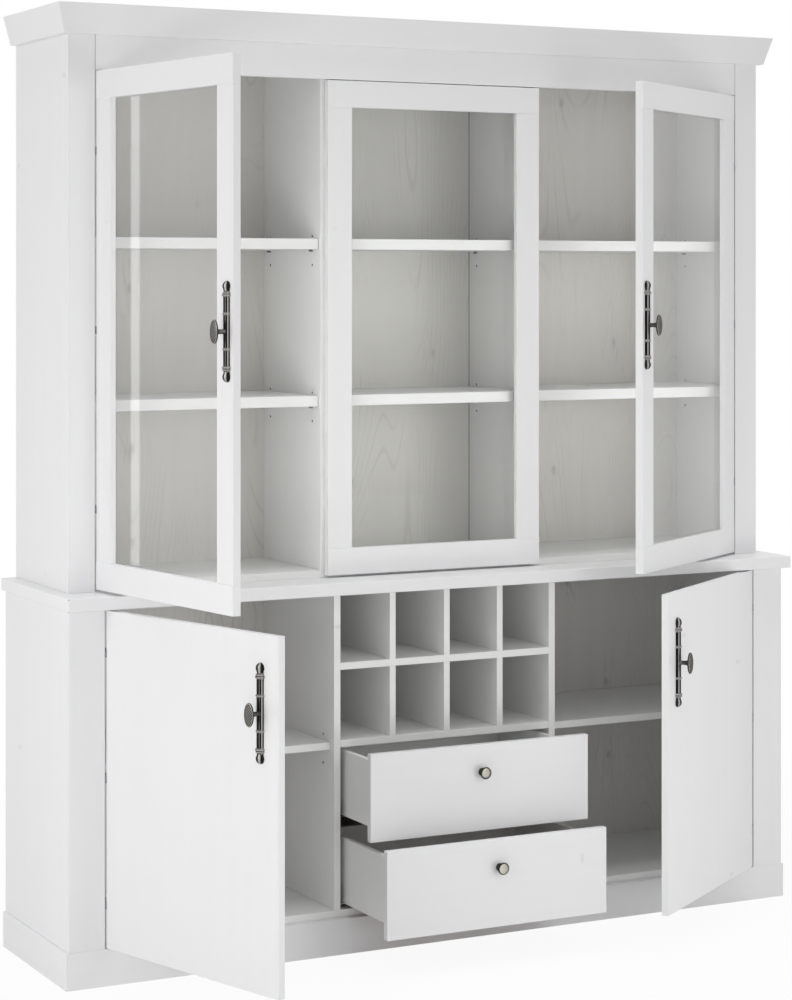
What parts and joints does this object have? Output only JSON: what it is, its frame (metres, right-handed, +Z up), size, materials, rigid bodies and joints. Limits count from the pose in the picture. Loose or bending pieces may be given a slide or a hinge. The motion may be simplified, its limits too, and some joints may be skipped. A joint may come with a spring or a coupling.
{
  "type": "buffet cabinet",
  "caption": "White country buffet cabinet: glazed upper doors over a countertop, and a base with plain doors, drawers and a bottle rack.",
  "frame": {"origin": "on the floor at the middle of the base's width and depth", "axes": "+X along the front to the right, +Y from the front to the rear, +Z up"},
  "size_m": [1.838, 0.9353, 2.078],
  "materials": {
    "white_board": "satin white foil on board with a faint pressed grain",
    "back_panel": "pale grey-beige printed wood grain, satin",
    "drawer_board": "white foil on board, satin",
    "clear_glass": "clear, polished",
    "pewter_metal": "antique pewter, dark with polished high spots",
    "fitting_steel": "zinc plated, dull"
  },
  "bodies": {
    "cabinet": {"base_back": "back_panel", "base_bottom": "white_board", "base_partition_left": "white_board", "base_partition_right": "white_board", "base_shelf_left": "white_board", "base_shelf_right": "white_board", "base_side_left": "white_board", "base_side_right": "white_board", "base_stiles": "white_board", "centre_frame": "white_board", "centre_glass": "clear_glass", "cornice_ends": "white_board", "cornice_front": "white_board", "countertop": "white_board", "drawer_runners": "fitting_steel", "frieze_rail": "white_board", "hinge_plates": "fitting_steel", "plinth_ends": "white_board", "plinth_front": "white_board", "plinth_rails": "white_board", "rack_dividers": "white_board", "rack_floor": "white_board", "rack_shelf": "white_board", "shelf_centre_high": "white_board", "shelf_centre_low": "white_board", "shelf_left_high": "white_board", "shelf_left_low": "white_board", "shelf_pegs": "fitting_steel", "shelf_right_high": "white_board", "shelf_right_low": "white_board", "upper_back": "back_panel", "upper_bottom": "white_board", "upper_partition_left": "white_board", "upper_partition_right": "white_board", "upper_side_left": "white_board", "upper_side_right": "white_board", "upper_stiles": "white_board", "upper_top": "white_board"},
    "upper_left_door": {"upper_left_door_frame": "white_board", "upper_left_door_glass": "clear_glass", "upper_left_door_handle": "pewter_metal", "upper_left_door_cups": "fitting_steel"},
    "upper_right_door": {"upper_right_door_frame": "white_board", "upper_right_door_glass": "clear_glass", "upper_right_door_handle": "pewter_metal", "upper_right_door_cups": "fitting_steel"},
    "lower_left_door": {"lower_left_door_slab": "white_board", "lower_left_door_handle": "pewter_metal", "lower_left_door_cups": "fitting_steel"},
    "lower_right_door": {"lower_right_door_slab": "white_board", "lower_right_door_handle": "pewter_metal", "lower_right_door_cups": "fitting_steel"},
    "upper_drawer": {"upper_drawer_front": "white_board", "upper_drawer_box": "drawer_board", "upper_drawer_floor": "drawer_board", "upper_drawer_knob": "pewter_metal"},
    "lower_drawer": {"lower_drawer_front": "white_board", "lower_drawer_box": "drawer_board", "lower_drawer_floor": "drawer_board", "lower_drawer_knob": "pewter_metal"}
  },
  "joints": [
    {"name": "upper_left_hinge", "type": "hinge", "parent": "cabinet", "child": "upper_left_door", "pos_m": [-0.821, -0.1345, 1.383], "axis": [0, 0, -1], "range_deg": [-81.3, 28.7]},
    {"name": "upper_right_hinge", "type": "hinge", "parent": "cabinet", "child": "upper_right_door", "pos_m": [0.821, -0.1345, 1.383], "axis": [0, 0, 1], "range_deg": [-33.4, 76.6]},
    {"name": "lower_left_hinge", "type": "hinge", "parent": "cabinet", "child": "lower_left_door", "pos_m": [-0.825, -0.2055, 0.43675], "axis": [0, 0, -1], "range_deg": [-73.1, 36.9]},
    {"name": "lower_right_hinge", "type": "hinge", "parent": "cabinet", "child": "lower_right_door", "pos_m": [0.825, -0.2055, 0.43675], "axis": [0, 0, 1], "range_deg": [-35.2, 74.8]},
    {"name": "upper_drawer_slide", "type": "slide", "parent": "cabinet", "child": "upper_drawer", "axis": [0, -1, 0], "range_m": [-0.1444, 0.1556]},
    {"name": "lower_drawer_slide", "type": "slide", "parent": "cabinet", "child": "lower_drawer", "axis": [0, -1, 0], "range_m": [-0.2231, 0.0769]}
  ]
}
